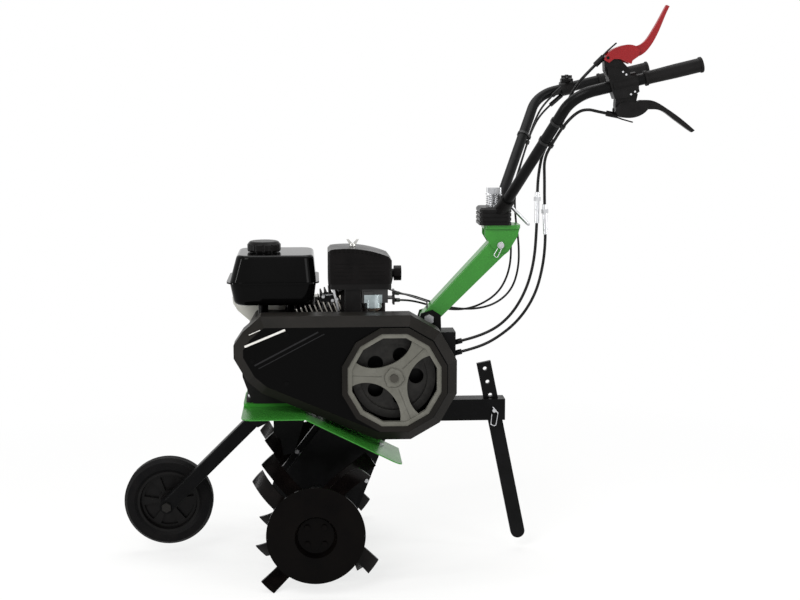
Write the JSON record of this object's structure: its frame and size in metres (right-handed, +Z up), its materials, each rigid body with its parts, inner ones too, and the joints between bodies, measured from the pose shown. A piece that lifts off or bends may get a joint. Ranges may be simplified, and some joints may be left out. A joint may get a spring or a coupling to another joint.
{
  "type": "garden tiller",
  "caption": "Walk-behind garden tiller with engine, covered belt drive, chain case, tine rotor, folding front wheel, drag bar and swivelling handlebars with control levers.",
  "frame": {"origin": "on the floor below the middle of the machine's length and width", "axes": "+X from the front wheel back to the grips, +Y from the belt side to the starter side, +Z up"},
  "size_m": [1.1492, 0.58, 1.134],
  "materials": {
    "black_paint": "satin",
    "green_paint": "gloss",
    "fender_green": "gloss",
    "engine_metal": "cast",
    "bare_metal": "cast",
    "steel": "zinc plated",
    "dark_steel": "oiled",
    "tank_black": "gloss",
    "black_plastic": "satin",
    "grey_plastic": "satin",
    "light_grey": "satin",
    "red_plastic": "satin",
    "black_rubber": "matt",
    "tyre_rubber": "matt",
    "pulley_iron": "machined"
  },
  "bodies": {
    "chassis": {"chassis_frame": "black_paint", "fender": "fender_green", "chain_case_left": "black_paint", "chain_case_right": "black_paint", "case_bearings": "steel", "drive_chain": "dark_steel", "belt_backplate": "black_paint", "belt_cover": "black_plastic", "cover_spider": "grey_plastic", "drive_belt": "black_rubber", "column_post": "black_paint", "frame_bolts": "steel", "pivot_pins": "steel", "column": "green_paint", "turret_head": "green_paint", "crankcase": "engine_metal", "cylinder_block": "bare_metal", "muffler": "dark_steel", "carburettor": "bare_metal", "air_cleaner_base": "black_plastic", "air_cleaner_cover": "black_plastic", "fuel_tank_lower": "tank_black", "fuel_tank_upper": "tank_black", "blower_housing": "light_grey", "recoil_cover": "black_paint", "control_cables": "black_rubber"},
    "crank": {"crankshaft": "dark_steel", "crank_pulley": "pulley_iron"},
    "filler_cap": {"fuel_cap": "black_plastic"},
    "starter": {"starter_handle": "black_plastic"},
    "input": {"input_shaft": "dark_steel", "driven_pulley": "pulley_iron"},
    "rotor": {"tine_shaft": "dark_steel", "inner_tines_left": "black_paint", "inner_tines_right": "black_paint", "outer_tines_left": "black_paint", "outer_tines_right": "black_paint", "guard_disc_left": "black_paint", "guard_disc_right": "black_paint", "tine_pins": "steel"},
    "idler": {"idler_arm": "dark_steel"},
    "idler_wheel": {"idler_pulley": "pulley_iron"},
    "front_arm": {"wheel_arm": "black_paint"},
    "front_wheel": {"wheel_rim": "black_plastic", "wheel_tyre": "tyre_rubber"},
    "drag_bar": {"depth_bar": "black_paint"},
    "handlebar": {"handlebar_clamp": "black_plastic", "swivel_bolt": "steel", "clamp_spring": "steel", "handlebar_left": "black_paint", "handlebar_right": "black_paint", "grip_left": "black_rubber", "grip_right": "black_rubber", "lever_housing": "black_plastic", "throttle_housing": "black_plastic", "cable_fittings": "steel"},
    "swivel_lever": {"clamp_lever": "steel"},
    "drive_lever": {"forward_lever": "black_plastic"},
    "back_lever": {"reverse_lever": "red_plastic"},
    "gas_lever": {"throttle_lever": "black_plastic"}
  },
  "joints": [
    {"name": "tine_spin", "type": "hinge", "parent": "chassis", "child": "rotor", "pos_m": [-0.1716, 0, 0.12486], "axis": [0, 1, 0], "continuous": true, "deforming": ["drive_chain"]},
    {"name": "input_spin", "type": "hinge", "parent": "chassis", "child": "input", "pos_m": [-0.01293, 0, 0.40531], "axis": [0, 1, 0], "continuous": true, "deforming": ["drive_chain"]},
    {"name": "crank_spin", "type": "hinge", "parent": "chassis", "child": "crank", "pos_m": [-0.2466, 0, 0.444], "axis": [0, 1, 0], "continuous": true},
    {"name": "idler_swing", "type": "hinge", "parent": "chassis", "child": "idler", "pos_m": [-0.1076, -0.12, 0.437], "axis": [0, 1, 0], "range_deg": [0, 11.5], "stiffness_Nm_per_rad": 2, "springref_deg": -8.59},
    {"name": "idler_spin", "type": "hinge", "parent": "idler", "child": "idler_wheel", "pos_m": [-0.1556, -0.12, 0.45], "axis": [0, 1, 0], "continuous": true},
    {"name": "wheel_arm_fold", "type": "hinge", "parent": "chassis", "child": "front_arm", "pos_m": [-0.2896, -0.022, 0.305], "axis": [0, 1, 0], "range_deg": [0, 55]},
    {"name": "wheel_spin", "type": "hinge", "parent": "front_arm", "child": "front_wheel", "pos_m": [-0.4816, 0.02, 0.115], "axis": [0, 1, 0], "continuous": true},
    {"name": "depth_slide", "type": "slide", "parent": "chassis", "child": "drag_bar", "axis": [-0.2028, 0, 0.9792], "range_m": [-0.087, 0]},
    {"name": "handlebar_swivel", "type": "hinge", "parent": "chassis", "child": "handlebar", "pos_m": [0.1984, 0, 0.7], "axis": [0, 0, 1], "range_deg": [-30, 30], "deforming": ["control_cables"]},
    {"name": "swivel_lever_flip", "type": "hinge", "parent": "handlebar", "child": "swivel_lever", "pos_m": [0.2074, 0, 0.7683], "axis": [0, -1, 0], "range_deg": [0, 90]},
    {"name": "forward_pull", "type": "hinge", "parent": "handlebar", "child": "drive_lever", "pos_m": [0.4184, -0.22, 0.938], "axis": [0, -1, 0], "range_deg": [0, 16.1]},
    {"name": "reverse_pull", "type": "hinge", "parent": "handlebar", "child": "back_lever", "pos_m": [0.3864, -0.22, 1.035], "axis": [0, 1, 0], "range_deg": [0, 18], "stiffness_Nm_per_rad": 1.5, "springref_deg": -11.46},
    {"name": "throttle_turn", "type": "hinge", "parent": "handlebar", "child": "gas_lever", "pos_m": [0.39001, 0.22, 1.00274], "axis": [0, 0, 1], "range_deg": [-35, 35]},
    {"name": "cap_turn", "type": "hinge", "parent": "chassis", "child": "filler_cap", "pos_m": [-0.2731, 0, 0.645], "axis": [0, 0, 1], "range_deg": [0, 90]},
    {"name": "starter_pull", "type": "slide", "parent": "chassis", "child": "starter", "axis": [-0.28, 0, 0.96], "range_m": [0, 0.5], "stiffness_N_per_m": 30, "springref_m": -0.2}
  ],
  "couplings": [
    {"joint": "input_spin", "follows": "tine_spin", "ratio": 2.8},
    {"joint": "forward_pull", "follows": "idler_swing", "ratio": 1.4}
  ]
}
